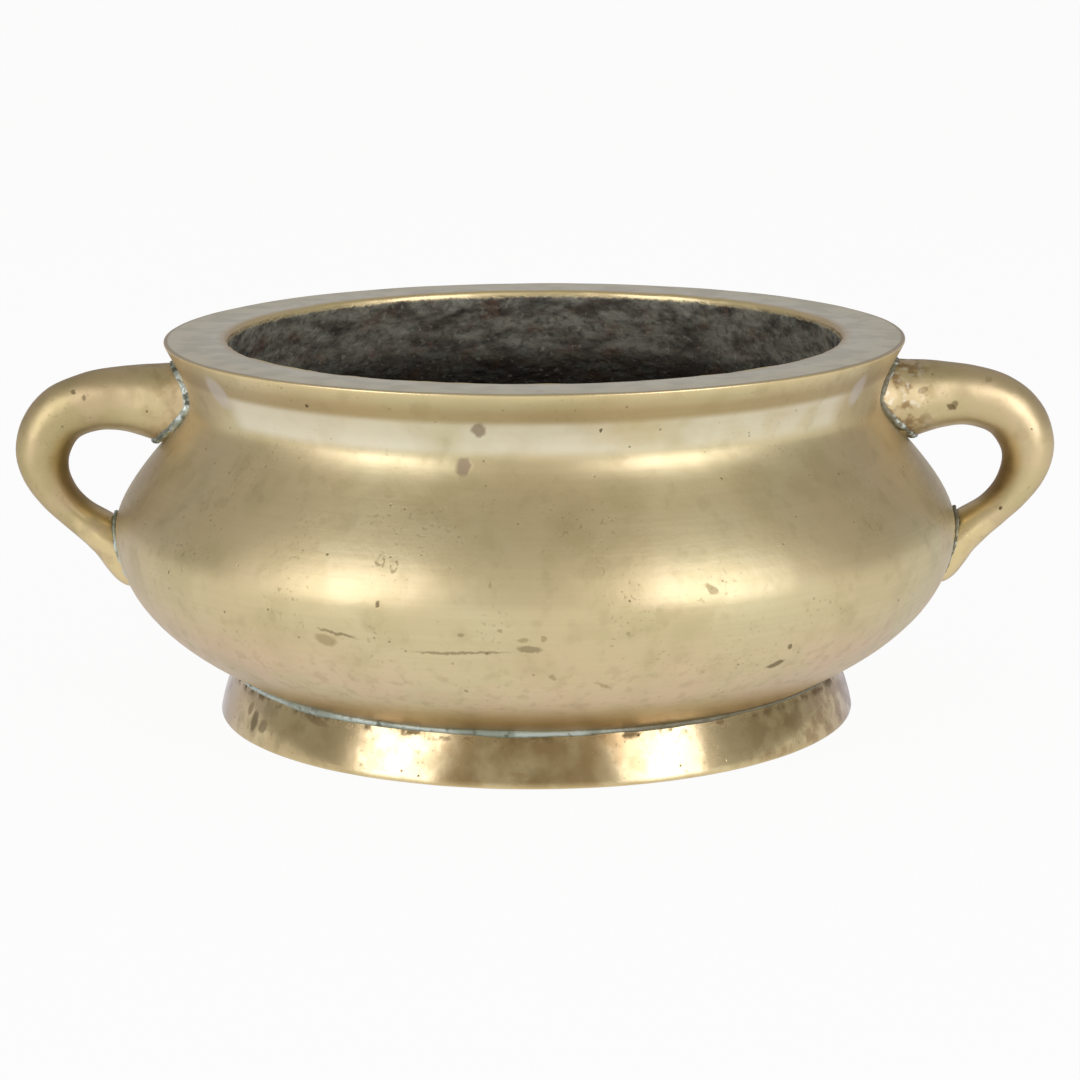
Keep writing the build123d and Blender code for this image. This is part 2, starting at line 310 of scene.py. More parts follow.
def settle(piece, sharp_above=40):
    """Place and size applied, faces outward, rounded shading that keeps corners above an angle in degrees."""
    pick(piece)
    bpy.ops.object.transform_apply(location=True, rotation=True, scale=True)
    bpy.ops.object.mode_set(mode="EDIT")
    bpy.ops.mesh.select_all(action="SELECT")
    bpy.ops.mesh.normals_make_consistent(inside=False)
    bpy.ops.object.mode_set(mode="OBJECT")
    bpy.ops.object.shade_smooth_by_angle(angle=radians(sharp_above))
    clear_selection()


def turned(name, outline, fineness):
    """A round piece: its outline drawn as a curve through its points, then spun about Z."""
    clear_selection()
    bpy.ops.curve.primitive_bezier_curve_add()
    drawn = bpy.context.object
    drawn.name = name
    spline = drawn.data.splines[0]
    spline.bezier_points.add(len(outline) - 2)
    for point, (place, before, after) in zip(spline.bezier_points, outline):
        point.handle_left_type = point.handle_right_type = "FREE"
        point.co = Vector((place[0], 0, place[1])) * MM
        point.handle_left = Vector((before[0], 0, before[1])) * MM
        point.handle_right = Vector((after[0], 0, after[1])) * MM
    spline.resolution_u = fineness
    drawn.data.resolution_u = fineness
    bpy.ops.object.convert(target="MESH")
    bpy.ops.object.mode_set(mode="EDIT")
    bpy.ops.mesh.select_all(action="SELECT")
    bpy.ops.mesh.spin(steps=SPIN_STEPS, angle=2 * pi, center=(0, 0, 0), axis=(0, 0, 1))
    bpy.ops.mesh.select_all(action="SELECT")
    bpy.ops.mesh.remove_doubles(threshold=WELD)
    bpy.ops.mesh.normals_make_consistent(inside=False)
    bpy.ops.object.mode_set(mode="OBJECT")
    drawn.data.materials.clear()
    return drawn


def weigh(piece, name, rule):
    """An attribute, and a vertex group of its name with _points, weighed by a point's place and facing.

    Places are given to the rule in millimetres."""
    weights = [min(max(rule(vertex.co / MM, vertex.normal), 0.0), 1.0) for vertex in piece.data.vertices]
    piece.data.attributes.new(name, "FLOAT", "POINT").data.foreach_set("value", weights)
    group = piece.vertex_groups.new(name=name + "_points")
    for index, weight in enumerate(weights):
        if weight > 0:
            group.add([index], weight, "REPLACE")


def fade(value, none, full):
    """0 at none, 1 at full, and straight between them."""
    return min(max((value - none) / (full - none), 0.0), 1.0)


def outward(place, facing):
    """How far a surface looks away from the vessel's axis, from -1 to 1."""
    reach = max(place.xy.length, 0.001)
    return facing.xy.dot(place.xy) / reach


def finish_piece(piece, node, finish, sharp_above=40):
    """Cleans a piece up, gives it its finish and puts it in the place of its CAD node."""
    settle(piece, sharp_above)
    piece.data.materials.clear()
    piece.data.materials.append(finish)
    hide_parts(node)
    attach(piece, "root")


# The castings and their seams
def in_bowl(place, facing):
    """The inside of the bowl: its floor, its walls and the rounding under the lip's inner edge."""
    on_lip = place.z > 77.3
    under_base = place.z < 12 and facing.z < 0
    on_floor = place.z < 30 and facing.z > 0.9
    past_wall = place.xy.length >= 82.5
    if on_lip or under_base:
        return 0.0
    if on_floor:
        return 1.0
    return 0.0 if past_wall else fade(-outward(place, facing), -0.05, 0.25)


def rubbed_lip(place, facing):
    """The lip's outer and inner corners, which hands and cloths keep bright."""
    reach = place.xy.length
    outer = fade(reach, 74.0, 74.8) * fade(place.z, 75.9, 76.6)
    inner = fade(reach, 64.4, 63.2) * fade(place.z, 75.4, 76.4)
    return max(outer, inner)


def lip_face(place, facing):
    """The flat top of the lip."""
    return fade(facing.z, 0.85, 0.98) * fade(place.z, 76.9, 77.2)


def make_bowl(finish):
    """The cast bowl: outline spun round, crusted inside, its outside left slightly uneven by hand filing."""
    bowl = turned("cast_bowl", BOWL_OUTLINE, fineness=19)
    weigh(bowl, "inside", in_bowl)
    weigh(bowl, "outside", lambda place, facing: 1 - in_bowl(place, facing))
    weigh(bowl, "rubbed", rubbed_lip)
    weigh(bowl, "lip_face", lip_face)
    modify(bowl, "DISPLACE", texture=clouds("burnt crust", 6 * MM, 4), vertex_group="inside_points",
           strength=0.55 * MM, mid_level=0.5)
    modify(bowl, "DISPLACE", texture=clouds("filed wall", 22 * MM, 2), vertex_group="outside_points",
           strength=0.22 * MM, mid_level=1.0)
    finish_piece(bowl, "vessel_body", finish)


def rubbed_foot(place, facing):
    """The lower and upper corners of the foot ring."""
    lower = fade(place.z, 0.8, 0.3) * fade(place.xy.length, 64.4, 64.9)
    upper = fade(place.z, 9.6, 10.1)
    return max(lower, 0.5 * upper)


def make_foot(finish):
    """The foot ring: a separate casting, spun from its outline and filed by hand."""
    foot = turned("foot_casting", FOOT_OUTLINE, fineness=10)
    weigh(foot, "rubbed", rubbed_foot)
    # Faces looking in towards the axis, under the bowl, get the foot finish's painted shade
    weigh(foot, "under", lambda place, facing: fade(-outward(place, facing), 0.0, 0.3))
    modify(foot, "DISPLACE", texture=clouds("filed foot", 14 * MM, 2), strength=0.16 * MM, mid_level=1.0)
    finish_piece(foot, "foot_ring", finish)


def make_foot_seam(finish):
    """The run of soft solder round the top of the foot ring, lumped, and thicker at the front left."""
    clear_selection()
    bpy.ops.mesh.primitive_torus_add(location=(0, 0, FOOT_SEAM_HEIGHT * MM), major_segments=360,
                                     minor_segments=10, major_radius=FOOT_SEAM_RADIUS * MM,
                                     minor_radius=FOOT_SEAM_HALF * MM)
    seam = bpy.context.object
    seam.name = "foot_seam"
    weigh(seam, "thick", lambda place, facing: fade(place.x, 14, -4) * fade(place.y, -14, -30))
    modify(seam, "DISPLACE", vertex_group="thick_points", strength=0.28 * MM, mid_level=0.0)
    modify(seam, "DISPLACE", texture=clouds("thick and thin", 17 * MM, 1), texture_coords="LOCAL",
           strength=1.1 * MM, mid_level=0.5)
    modify(seam, "DISPLACE", texture=clouds("solder lumps", 2.2 * MM, 2), texture_coords="LOCAL",
           strength=0.45 * MM, mid_level=0.5)
    modify(seam, "SMOOTH", factor=0.5, iterations=2)
    finish_piece(seam, "foot_solder", finish, sharp_above=60)


def draw_loop():
    """A loop handle drawn out ring by ring from its root to its tail, then rounded off."""
    clear_selection()
    bpy.ops.mesh.primitive_circle_add(vertices=ROUNDS, radius=MM, fill_type="NGON", rotation=(0, pi / 2, 0))
    loop = bpy.context.object
    loop.name = "right_loop"
    bpy.ops.object.transform_apply(location=True, rotation=True, scale=True)
    bpy.ops.object.mode_set(mode="EDIT")
    bpy.ops.mesh.select_all(action="SELECT")
    for index, (out, height, thick, wide, run) in enumerate(LOOP_RINGS):
        if index:
            # The new ring starts as the last one, brought back to a plain circle round the origin
            last_out, last_height, last_thick, last_wide, last_run = LOOP_RINGS[index - 1]
            bpy.ops.mesh.extrude_region()
            bpy.ops.transform.translate(value=(-last_out * MM, 0, -last_height * MM))
            bpy.ops.transform.rotate(value=-radians(last_run), orient_axis="Y", center_override=(0, 0, 0))
            bpy.ops.transform.resize(value=(1, 1 / last_wide, 1 / last_thick), center_override=(0, 0, 0))
        bpy.ops.transform.resize(value=(1, wide, thick), center_override=(0, 0, 0))
        bpy.ops.transform.rotate(value=radians(run), orient_axis="Y", center_override=(0, 0, 0))
        bpy.ops.transform.translate(value=(out * MM, 0, height * MM))
    bpy.ops.mesh.select_all(action="SELECT")
    bpy.ops.mesh.normals_make_consistent(inside=False)
    bpy.ops.object.mode_set(mode="OBJECT")
    modify(loop, "SUBSURF", levels=2, render_levels=2)
    return loop


def mirror_loop(loop):
    """The left-hand loop: a copy of the right-hand one, mirrored across the vessel."""
    other = copy_of(loop, "left_loop")
    bpy.ops.object.mode_set(mode="EDIT")
    bpy.ops.mesh.select_all(action="SELECT")
    bpy.ops.transform.resize(value=(-1, 1, 1), center_override=(0, 0, 0))
    bpy.ops.mesh.normals_make_consistent(inside=False)
    bpy.ops.object.mode_set(mode="OBJECT")
    return other


def tenon_head(side, height, tenon, wall):
    """The hammered end of a handle's tenon, spread over the inside of the wall."""
    clear_selection()
    bpy.ops.mesh.primitive_cylinder_add(vertices=40, radius=(tenon + HEAD_SPREAD) * MM,
                                        depth=HEAD_THICKNESS * MM,
                                        location=(side * (wall - 0.1) * MM, 0, height * MM),
                                        rotation=(0, pi / 2, 0))
    head = bpy.context.object
    modify(head, "BEVEL", width=0.7 * MM, segments=4)
    modify(head, "SUBSURF", subdivision_type="SIMPLE", levels=2, render_levels=2)
    modify(head, "DISPLACE", texture=clouds("hammer marks", 2.5 * MM, 1), strength=0.45 * MM, mid_level=0.6)
    return head


def finish_loop(loop, side, node, finish):
    """Files a loop by hand, cuts its roots off inside the wall and adds its tenon heads."""
    modify(loop, "DISPLACE", texture=clouds("filed loop", 9 * MM, 2), texture_coords="LOCAL",
           strength=0.35 * MM, mid_level=0.75)
    plug = turned("wall_plug", WALL_MIDDLE, fineness=12)
    modify(loop, "BOOLEAN", operation="DIFFERENCE", object=plug, solver="EXACT")
    bpy.data.objects.remove(plug)
    heads = [tenon_head(side, *numbers) for numbers in TENON_HEADS]
    pick(loop)
    for head in heads:
        head.select_set(True)
    bpy.ops.object.join()
    finish_piece(loop, node, finish)


def wall_reach(height):
    """How far the bowl's outside stands from the axis at a height in millimetres."""
    for (low, near), (high, far) in zip(WALL_POINTS, WALL_POINTS[1:]):
        if height < high:
            break
    return near + (far - near) * (height - low) / (high - low)


def make_root_seam(node, rounding, middle, press, finish):
    """Soft solder run round a loop's root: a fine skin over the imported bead, lumped and smoothed, and most of
    all at its low end."""
    seam = copy_of(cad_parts[node], node.replace("solder", "seam"))
    modify(seam, "REMESH", mode="VOXEL", voxel_size=0.22 * MM)
    modify(seam, "SMOOTH", factor=0.9, iterations=rounding)
    weigh(seam, "low_end", lambda place, facing: fade(place.z, middle - 4.5, middle - 7))
    modify(seam, "SMOOTH", factor=0.9, iterations=40, vertex_group="low_end_points")
    side = 1 if node.startswith("right") else -1
    pick(seam)
    bpy.ops.object.mode_set(mode="EDIT")
    bpy.ops.mesh.select_all(action="SELECT")
    bpy.ops.transform.resize(value=(1, press, press), center_override=(0, 0, middle * MM))
    bpy.ops.transform.translate(value=(-side * (1 - press) * PRESS_SHIFT * MM, 0, 0))
    bpy.ops.object.mode_set(mode="OBJECT")
    modify(seam, "DISPLACE", texture=clouds("root lumps", 2.2 * MM, 3), texture_coords="LOCAL",
           strength=0.9 * MM, mid_level=0.55)
    modify(seam, "SMOOTH", factor=0.5, iterations=3)
    weigh(seam, "off_wall", lambda place, facing: fade(place.xy.length - wall_reach(place.z), 0.6, 1.3))
    finish_piece(seam, node, finish, sharp_above=60)


# Finishes
def colour(hex_value):
    """A shader colour from its sRGB hex value."""
    parts = [int(hex_value[start:start + 2], 16) / 255 for start in (1, 3, 5)]
    linear = [part / 12.92 if part <= 0.04045 else ((part + 0.055) / 1.055) ** 2.4 for part in parts]
    return (*linear, 1.0)


def add(tree, kind, inputs=None, **settings):
    """One node with its settings; each input gets a value, or a link from an output or from a node's first."""
    node = tree.nodes.new("ShaderNode" + kind)
    for key, value in settings.items():
        setattr(node, key, value)
    for key, value in (inputs or {}).items():
        if isinstance(value, bpy.types.Node):
            value = value.outputs[0]
        if isinstance(value, bpy.types.NodeSocket):
            tree.links.new(value, node.inputs[key])
        else:
            node.inputs[key].default_value = value
    return node


class Coat:
    """A finish being built up over places in millimetres: colour, roughness, bare metal and height so far."""

    def __init__(self, name, base, roughness, metallic=1.0):
        self.material = bpy.data.materials.new(name)
        self.material.use_nodes = True
        self.tree = self.material.node_tree
        self.shader = self.tree.nodes["Principled BSDF"]
        self.shader.inputs["Specular Tint"].default_value = colour(EDGE_TINT)
        place = add(self.tree, "TexCoord").outputs["Object"]
        self.place = add(self.tree, "Mapping", {"Vector": place, "Scale": (1 / MM,) * 3})
        self.start(base, roughness, metallic)

    def start(self, base, roughness, metallic):
        """Begins with a bare, level coat."""
        self.colour = colour(base)
        self.roughness = roughness
        self.metal = metallic
        self.height = 0.0

    def fray(self, size, amount):
        """Makes ragged places, shifted a little this way and that, for edges that are not drawn clean."""
        fog = add(self.tree, "TexNoise", {"Vector": self.place, "Scale": 1 / size, "Detail": 3})
        inputs = {0: fog.outputs["Color"], 1: (0.5, 0.5, 0.5)}
        shift = add(self.tree, "VectorMath", inputs, operation="SUBTRACT")
        shift = add(self.tree, "VectorMath", {0: shift, "Scale": amount}, operation="SCALE")
        self.ragged = add(self.tree, "VectorMath", {0: self.place, 1: shift}, operation="ADD")

    def clouded(self, size, low, high, detail=3, stretch=(1, 1, 1), start=(0, 0, 0)):
        """How much of a cloudy pattern shows, with lumps of a given size in millimetres."""
        place = add(self.tree, "Mapping", {"Vector": self.place, "Scale": stretch, "Location": start})
        fog = add(self.tree, "TexNoise", {"Vector": place, "Scale": 1 / size, "Detail": detail})
        return add(self.tree, "MapRange", {"Value": fog, "From Min": low, "From Max": high},
                   interpolation_type="SMOOTHSTEP")

    def pitted(self, spacing, small, large, share):
        """Round pits of differing depth, a share of the places at a given spacing in millimetres."""
        cells = add(self.tree, "TexVoronoi", {"Vector": self.place, "Scale": 1 / spacing})
        near = add(self.tree, "MapRange", {"Value": cells.outputs["Distance"], "From Min": large / spacing,
                                           "From Max": small / spacing}, interpolation_type="SMOOTHSTEP")
        dice = add(self.tree, "SeparateXYZ", {0: cells.outputs["Color"]})
        chosen = add(self.tree, "MapRange", {"Value": dice, "From Min": 1 - share, "From Max": 1 - share * 0.4},
                     interpolation_type="SMOOTHSTEP")
        return self.meeting(near, chosen)

    def zone(self, axis, none, full, place=None):
        """How far a place lies inside a zone along X, Y or Z in millimetres: 0 at none, 1 at full."""
        parts = add(self.tree, "SeparateXYZ", {0: place or self.place}).outputs
        return add(self.tree, "MapRange", {"Value": parts[axis], "From Min": none, "From Max": full},
                   interpolation_type="SMOOTHSTEP")

    def mark(self, place, half, turn=0.0):
        """A single mark at a place in millimetres, as wide and high as said, with a ragged edge."""
        faces_front = abs(place[0]) < abs(place[1]) * 3
        lean = atan2(place[0], -place[1]) if faces_front else 0
        inputs = {"Vector": self.ragged, "Location": place, "Rotation": (0, radians(turn), lean),
                  "Scale": (half[0], MARK_DEPTH, half[1])}
        seen = add(self.tree, "Mapping", inputs, vector_type="TEXTURE")
        reach = add(self.tree, "VectorMath", {0: seen}, operation="LENGTH").outputs["Value"]
        return add(self.tree, "MapRange", {"Value": reach, "From Min": 1.1, "From Max": 0.6},
                   interpolation_type="SMOOTHSTEP")

    def meeting(self, *amounts):
        """Where some amounts meet: all of them multiplied together."""
        total = amounts[0]
        for amount in amounts[1:]:
            total = add(self.tree, "Math", {0: total, 1: amount}, operation="MULTIPLY")
        return total

    def lay(self, *amounts, tint=None, roughness=None, metal=None, strength=1.0):
        """Lays a tint, a roughness and a share of bare metal over the coat where the amounts meet."""
        if strength != 1.0:
            amounts += (strength,)
        share = self.meeting(*amounts)
        if tint:
            inputs = {0: share, 6: self.colour, 7: colour(tint)}
            self.colour = add(self.tree, "Mix", inputs, data_type="RGBA").outputs[2]
        if roughness is not None:
            inputs = {0: share, 2: self.roughness, 3: roughness}
            self.roughness = add(self.tree, "Mix", inputs, data_type="FLOAT")
        if metal is not None:
            inputs = {0: share, 2: self.metal, 3: metal}
            self.metal = add(self.tree, "Mix", inputs, data_type="FLOAT")

    def raise_by(self, height, *amounts):
        """Raises the surface by a height in millimetres where the amounts meet; below 0 it is sunk."""
        lift = self.meeting(*amounts, height)
        self.height = add(self.tree, "Math", {0: lift, 1: self.height}, operation="ADD")

    def cover(self, other, *amounts):
        """Puts another coat over this one where the amounts meet."""
        share = self.meeting(*amounts)
        inputs = {0: share, 6: self.colour, 7: other.colour}
        self.colour = add(self.tree, "Mix", inputs, data_type="RGBA").outputs[2]
        for layer in ("roughness", "metal", "height"):
            inputs = {0: share, 2: getattr(self, layer), 3: getattr(other, layer)}
            setattr(self, layer, add(self.tree, "Mix", inputs, data_type="FLOAT"))

    def done(self):
        """Links what was built up to the shader."""
        bump = add(self.tree, "Bump", {"Height": self.height, "Distance": MM, "Strength": 1.0})
        for socket, value in (("Base Color", self.colour), ("Roughness", self.roughness),
                              ("Metallic", self.metal), ("Normal", bump)):
            if isinstance(value, bpy.types.Node):
                value = value.outputs[0]
            if isinstance(value, bpy.types.NodeSocket):
                self.tree.links.new(value, self.shader.inputs[socket])
            else:
                self.shader.inputs[socket].default_value = value
        return self.material


def worn_brass(coat):
    """What all the brass here shares: uneven tone, dull freckles, pinholes and fine rubbing."""
    coat.lay(coat.clouded(34, 0.38, 0.62), tint=WARM_BRASS, strength=0.75)
    coat.lay(coat.clouded(11, 0.45, 0.68, start=(40, 0, 7)), tint=OLIVE_BRASS, strength=0.5)
    coat.lay(coat.clouded(4.5, 0.54, 0.70, 5), tint=DULL_BRASS, roughness=0.5, strength=0.22)
    clumps = coat.clouded(15, 0.46, 0.68, 2, start=(0, 0, 88))
    grains = coat.clouded(0.9, 0.60, 0.70, 3, start=(0, 5, 0))
    coat.lay(clumps, grains, tint=DARK_STAIN, roughness=0.6, strength=0.36)
    coat.raise_by(-0.012, clumps, grains)
    coat.lay(coat.clouded(24, 0.40, 0.65, start=(9, 30, 0)), roughness=0.47, strength=0.5)
    pits = coat.pitted(2.9, 0.10, 0.36, 0.40)
    coat.lay(pits, tint=PIT, roughness=0.7, strength=0.70)
    coat.raise_by(-0.05, pits)
    coat.raise_by(0.030, coat.clouded(5.0, 0.2, 0.8, 4))
    coat.raise_by(0.006, coat.clouded(0.8, 0.2, 0.8, 3))


def marked(coat, marks, roughness, depth):
    """Single marks, each a little dull and sunk by its strength times a depth in millimetres."""
    for place, half, turn, tint, strength in marks:
        spot = coat.mark(place, half, turn)
        coat.lay(spot, tint=tint, roughness=roughness, strength=strength)
        coat.raise_by(-depth * strength, spot)


def belly_and_neck(coat):
    """The bowl's outside: turning lines, a warm lower belly that is partly a painted reflection, a pale band of
    painted reflection in the neck, and painted shade in brown under the lip.
    """
    # Fine turning lines run round the vessel, drawn 0.9 mm apart because the real ones are too fine to show
    lines = coat.clouded(0.9, 0.35, 0.65, 2, stretch=(0.02, 0.02, 1.0))
    coat.lay(lines, tint=OLIVE_BRASS, roughness=0.47, strength=0.16)
    coat.raise_by(0.004, lines)

    # The lower belly is tinted warmer and pinker in blotches, partly its own tone and partly a painted
    # reflection of a warm floor, and worn in small flat patches
    low = coat.zone("Z", 36, 24)
    coat.lay(low, coat.clouded(14, 0.30, 0.60, start=(0, 0, 50)), tint=PINK_BRASS, strength=0.6)
    worn = coat.clouded(2.6, 0.50, 0.68, 7, start=(70, 0, 50))
    coat.lay(low, worn, tint=DULL_BRASS, roughness=0.52, strength=0.24)
    coat.raise_by(-0.010, low, worn)

    # Close above the foot the brass is tinted a golden brown, with a sharp edge near 14 mm and a soft fade up
    # to 19.5 mm
    coat.lay(coat.zone("Z", 14.8, 13.8, coat.ragged), tint=GOLDEN_BROWN, roughness=0.34, strength=0.3)
    coat.lay(coat.zone("Z", 19.5, 13.5), tint=GOLDEN_BROWN, roughness=0.34, strength=0.5)

    # A pale band painted in the hollow of the neck, at the front: a painted reflection of the pale surroundings
    # in the concave neck
    coat.lay(coat.zone("Z", 64.4, 66.6), coat.zone("Z", 72.4, 70.8), coat.zone("Y", -38, -44),
             coat.clouded(18, 0.25, 0.60, start=(0, 0, 31)), tint=PALE_FLECK_AND_REFLECTION, roughness=0.5, strength=0.55)

    # Above it the brass is tinted brown under the lip: painted shade in the hollow under the lip
    coat.lay(coat.zone("Z", 70.6, 72.2), coat.zone("Z", 76.4, 73.0), tint=UNDER_LIP_SHADE, strength=0.6)

    # Marks left by use and by the casting
    marked(coat, BOWL_MARKS, 0.65, 0.05)
    for place, half in BOWL_RINGS:
        spot = coat.mark(place, half)
        middle = coat.mark(place, (half[0] * 0.6, half[1] * 0.6))
        ring = add(coat.tree, "Math", {0: spot, 1: middle}, operation="SUBTRACT")
        coat.lay(ring, coat.clouded(0.8, 0.38, 0.56, 2), tint=DARK_STAIN, roughness=0.6, strength=0.5)
    # Pale patches at the ends of the neck: painted reflections
    for place, half, turn in NECK_REFLECTION_PATCHES:
        coat.lay(coat.mark(place, half, turn), tint=NECK_REFLECTION_TINT, roughness=0.5, strength=0.55)


def flat_lip(coat):
    """The lip's flat top, greyer and finely scratched in rings, and its corners, rubbed bright."""
    face = add(coat.tree, "Attribute", attribute_name="lip_face").outputs["Fac"]
    rubbed = add(coat.tree, "Attribute", attribute_name="rubbed").outputs["Fac"]
    flat = add(coat.tree, "VectorMath", {0: coat.place, 1: (1, 1, 0)}, operation="MULTIPLY")
    reach = add(coat.tree, "VectorMath", {0: flat}, operation="LENGTH").outputs["Value"]
    near_bowl = add(coat.tree, "MapRange", {"Value": reach, "From Min": 72, "From Max": 65},
                    interpolation_type="SMOOTHSTEP")
    at_edge = add(coat.tree, "MapRange", {"Value": reach, "From Min": 74.0, "From Max": 74.5},
                  interpolation_type="SMOOTHSTEP")
    coat.lay(face, tint=GREY_BRASS, roughness=0.40, strength=0.85)
    coat.lay(face, near_bowl, tint=LIP_PALE, strength=0.5)
    coat.lay(face, coat.clouded(7, 0.42, 0.62, 5, start=(0, 60, 0)), tint=LIP_DULL, roughness=0.5,
             strength=0.30)
    # A dark line along the outer edge of the lip's top: painted shade where the edge rounds over
    coat.lay(face, at_edge, tint=DARK_STAIN, strength=0.5)
    across = add(coat.tree, "CombineXYZ", {0: reach})
    rings = add(coat.tree, "TexNoise", {"Vector": across, "Scale": 1.4, "Detail": 2})
    rings = add(coat.tree, "MapRange", {"Value": rings, "From Min": 0.4, "From Max": 0.6},
                interpolation_type="SMOOTHSTEP")
    coat.raise_by(0.006, face, rings)
    coat.lay(rubbed, tint=RUBBED_AND_SHEEN, roughness=0.34, strength=0.55)


def burnt_crust(coat):
    """The bowl's inside: soot and ash burnt on, mottled grey, black and brown, paler towards the top and darker
    towards the bottom.
    """
    soot = copy(coat)
    soot.start(SOOT, 0.82, 0.15)
    wide = (0.7, 0.7, 1.7)
    soot.lay(soot.clouded(9, 0.38, 0.64, 5, wide, (3, 0, 0)), tint=ASH_BROWN, strength=0.9)
    soot.lay(soot.clouded(5, 0.46, 0.68, 6, wide, (0, 17, 0)), tint=GREY_GREEN, roughness=0.7, strength=0.8)
    soot.lay(soot.clouded(5, 0.54, 0.68, 5, start=(0, 0, 23)), tint=SOOT_BROWN, roughness=0.6, metal=0.4,
             strength=0.7)
    # Darker towards the bottom of the inside, and paler towards the top
    soot.lay(soot.zone("Z", 70, 46), tint=DEEP_SOOT, strength=0.68)
    soot.lay(soot.zone("Z", 56, 74), soot.clouded(4.5, 0.32, 0.66, 7, wide, (6, 0, 0)), tint=PALE_ASH,
             strength=0.75)
    soot.lay(soot.clouded(1.8, 0.50, 0.68, 3, start=(0, 0, 5)), tint=DEEP_SOOT, strength=0.45)
    soot.lay(soot.clouded(1.6, 0.60, 0.70, 3, start=(0, 8, 5)), tint=PALE_ASH, strength=0.45)
    soot.lay(soot.zone("Z", 24, 11), soot.clouded(9, 0.40, 0.70, 8, start=(6, 9, 0)), tint=PALE_ASH,
             roughness=0.9, metal=0.0, strength=0.55)
    soot.raise_by(0.35, soot.clouded(2.4, 0.2, 0.8, 5))
    return soot


def cast_brass():
    """Cast brass, filed and polished by hand: a warm satin glow, dull freckles and dark pinholes outside,
    and a rough brown crust of burnt ash inside, which stops in a ragged line under the lip's inner corner."""
    coat = Coat("satin_polished_cast_brass", PALE_BRASS, 0.41)
    coat.fray(1.3, 1.1)
    worn_brass(coat)
    belly_and_neck(coat)
    flat_lip(coat)
    inside = add(coat.tree, "Attribute", attribute_name="inside").outputs["Fac"]
    coat.cover(burnt_crust(coat), inside, coat.zone("Z", 76.4, 75.6, coat.ragged))
    return coat.done()


def foot_brass():
    """Cast brass burnished by years of standing and lifting: darker and glossier than the bowl, browned at
    the front and on the right, and dirty along the solder."""
    coat = Coat("burnished_cast_brass", FOOT_BRASS, 0.17)
    coat.fray(1.1, 1.0)
    coat.lay(coat.clouded(16, 0.40, 0.62), tint=FOOT_BROWN, roughness=0.20, strength=0.32)
    coat.lay(coat.clouded(5, 0.48, 0.66, 5, start=(0, 12, 3)), tint=DULL_BRASS, roughness=0.27, strength=0.5)
    across = add(coat.tree, "VectorMath", {0: coat.place}, operation="ABSOLUTE")
    coat.lay(coat.zone("Y", 0, -50), coat.zone("X", 25, 14, across),
             coat.clouded(7, 0.32, 0.62, 6, start=(20, 0, 15)), tint=FOOT_BROWN, roughness=0.22, strength=0.7)
    coat.lay(coat.zone("X", 36, 46), coat.clouded(5, 0.38, 0.60, 6, start=(0, 33, 15)), tint=BROWN_TARNISH,
             roughness=0.3, strength=0.6)
    coat.lay(coat.clouded(1.1, 0.60, 0.72, 4, start=(0, 2, 3)), tint=DARK_STAIN, roughness=0.5, strength=0.3)
    pits = coat.pitted(2.8, 0.10, 0.32, 0.35)
    coat.lay(pits, tint=PIT, roughness=0.6, strength=0.75)
    coat.raise_by(-0.05, pits)
    coat.raise_by(0.012, coat.clouded(6.0, 0.2, 0.8, 3))
    coat.raise_by(0.002, coat.clouded(1.0, 0.2, 0.8, 3))
    coat.lay(coat.zone("Z", 8.0, 9.4, coat.ragged), coat.clouded(3.0, 0.45, 0.60, 4, start=(5, 0, 0)),
             tint=DARK_STAIN, roughness=0.6, strength=0.85)
    rubbed = add(coat.tree, "Attribute", attribute_name="rubbed").outputs["Fac"]
    under = add(coat.tree, "Attribute", attribute_name="under").outputs["Fac"]
    coat.lay(rubbed, tint=RUBBED_AND_SHEEN, roughness=0.24, strength=0.6)
    # The faces looking in towards the axis, under the bowl, are darkened: painted shade
    coat.lay(under, tint=DARK_STAIN, roughness=0.6, strength=0.6)
    for place, half, turn, tint, strength in FOOT_MARKS:
        coat.lay(coat.mark(place, half, turn), tint=tint, roughness=0.5, strength=strength)
    return coat.done()


